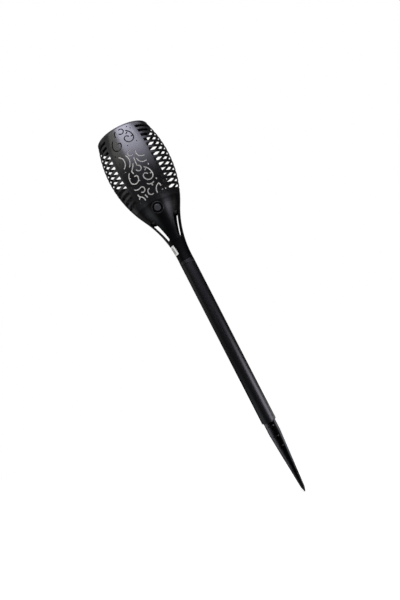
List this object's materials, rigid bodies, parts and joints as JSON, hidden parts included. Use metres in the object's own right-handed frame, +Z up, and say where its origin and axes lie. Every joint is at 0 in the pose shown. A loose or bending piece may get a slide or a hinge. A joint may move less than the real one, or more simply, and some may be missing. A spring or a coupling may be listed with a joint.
{
  "type": "solar garden torch",
  "caption": "Solar garden torch: tulip lampshade with scroll and slot cuts, solar cap, flame cover, push button, window neck, round pole and finned ground stake.",
  "frame": {"origin": "on the pole's axis at the ground line, where the pole's lower end meets the stake", "axes": "+Z up along the pole, -Y towards the side with the power button, +X to the right seen from that side"},
  "size_m": [0.1266, 0.1266, 0.7575],
  "materials": {
    "lamp_plastic": "black satin moulding",
    "pole_finish": "black semi-gloss tube",
    "collar_plastic": "black satin moulding",
    "stake_plastic": "black satin moulding with flow marks",
    "housing_plastic": "black matte moulding",
    "button_plastic": "dark grey satin",
    "frosted_cover": "frosted translucent white",
    "white_plastic": "white satin",
    "diode_lens": "clear lens over yellow phosphor",
    "solar_cells": "dark blue silicon with silver lines",
    "clear_cover": "clear cover sheet",
    "gasket_rubber": "black rubber",
    "battery_sleeve": "plain green sleeve",
    "circuit_board": "green solder mask",
    "bright_metal": "zinc-plated steel"
  },
  "bodies": {
    "stake": {"ground_stake": "stake_plastic"},
    "pole": {"pole_tube": "pole_finish"},
    "lamp": {"collar_ring": "collar_plastic", "neck_stem": "lamp_plastic", "switch_cone": "lamp_plastic", "lampshade": "lamp_plastic", "solar_cap": "lamp_plastic", "solar_cells": "solar_cells", "panel_glass": "clear_cover", "cap_gasket": "gasket_rubber", "battery_housing": "housing_plastic", "battery_cradle": "housing_plastic", "battery": "battery_sleeve", "battery_contacts": "bright_metal", "control_board": "circuit_board", "flame_cover": "frosted_cover", "light_column": "white_plastic", "diodes": "diode_lens", "chamber_cover": "housing_plastic", "switch_board": "circuit_board", "power_switch": "housing_plastic", "case_screws": "bright_metal"},
    "button": {"power_button": "button_plastic", "button_clip": "bright_metal"},
    "plunger": {"switch_plunger": "white_plastic"}
  },
  "joints": [
    {"name": "pole_lift", "type": "slide", "parent": "stake", "child": "pole", "axis": [0, 0, 1], "range_m": [0, 0.03]},
    {"name": "lamp_lift", "type": "slide", "parent": "pole", "child": "lamp", "axis": [0, 0, 1], "range_m": [0, 0.03]},
    {"name": "button_press", "type": "slide", "parent": "lamp", "child": "button", "axis": [0, 0.884, 0.4676], "range_m": [0, 0.0012], "stiffness_N_per_m": 700, "springref_m": -0.0012},
    {"name": "plunger_press", "type": "slide", "parent": "lamp", "child": "plunger", "axis": [0, 0.884, 0.4676], "range_m": [0, 0.0012]}
  ],
  "couplings": [
    {"joint": "plunger_press", "follows": "button_press", "ratio": 1}
  ]
}
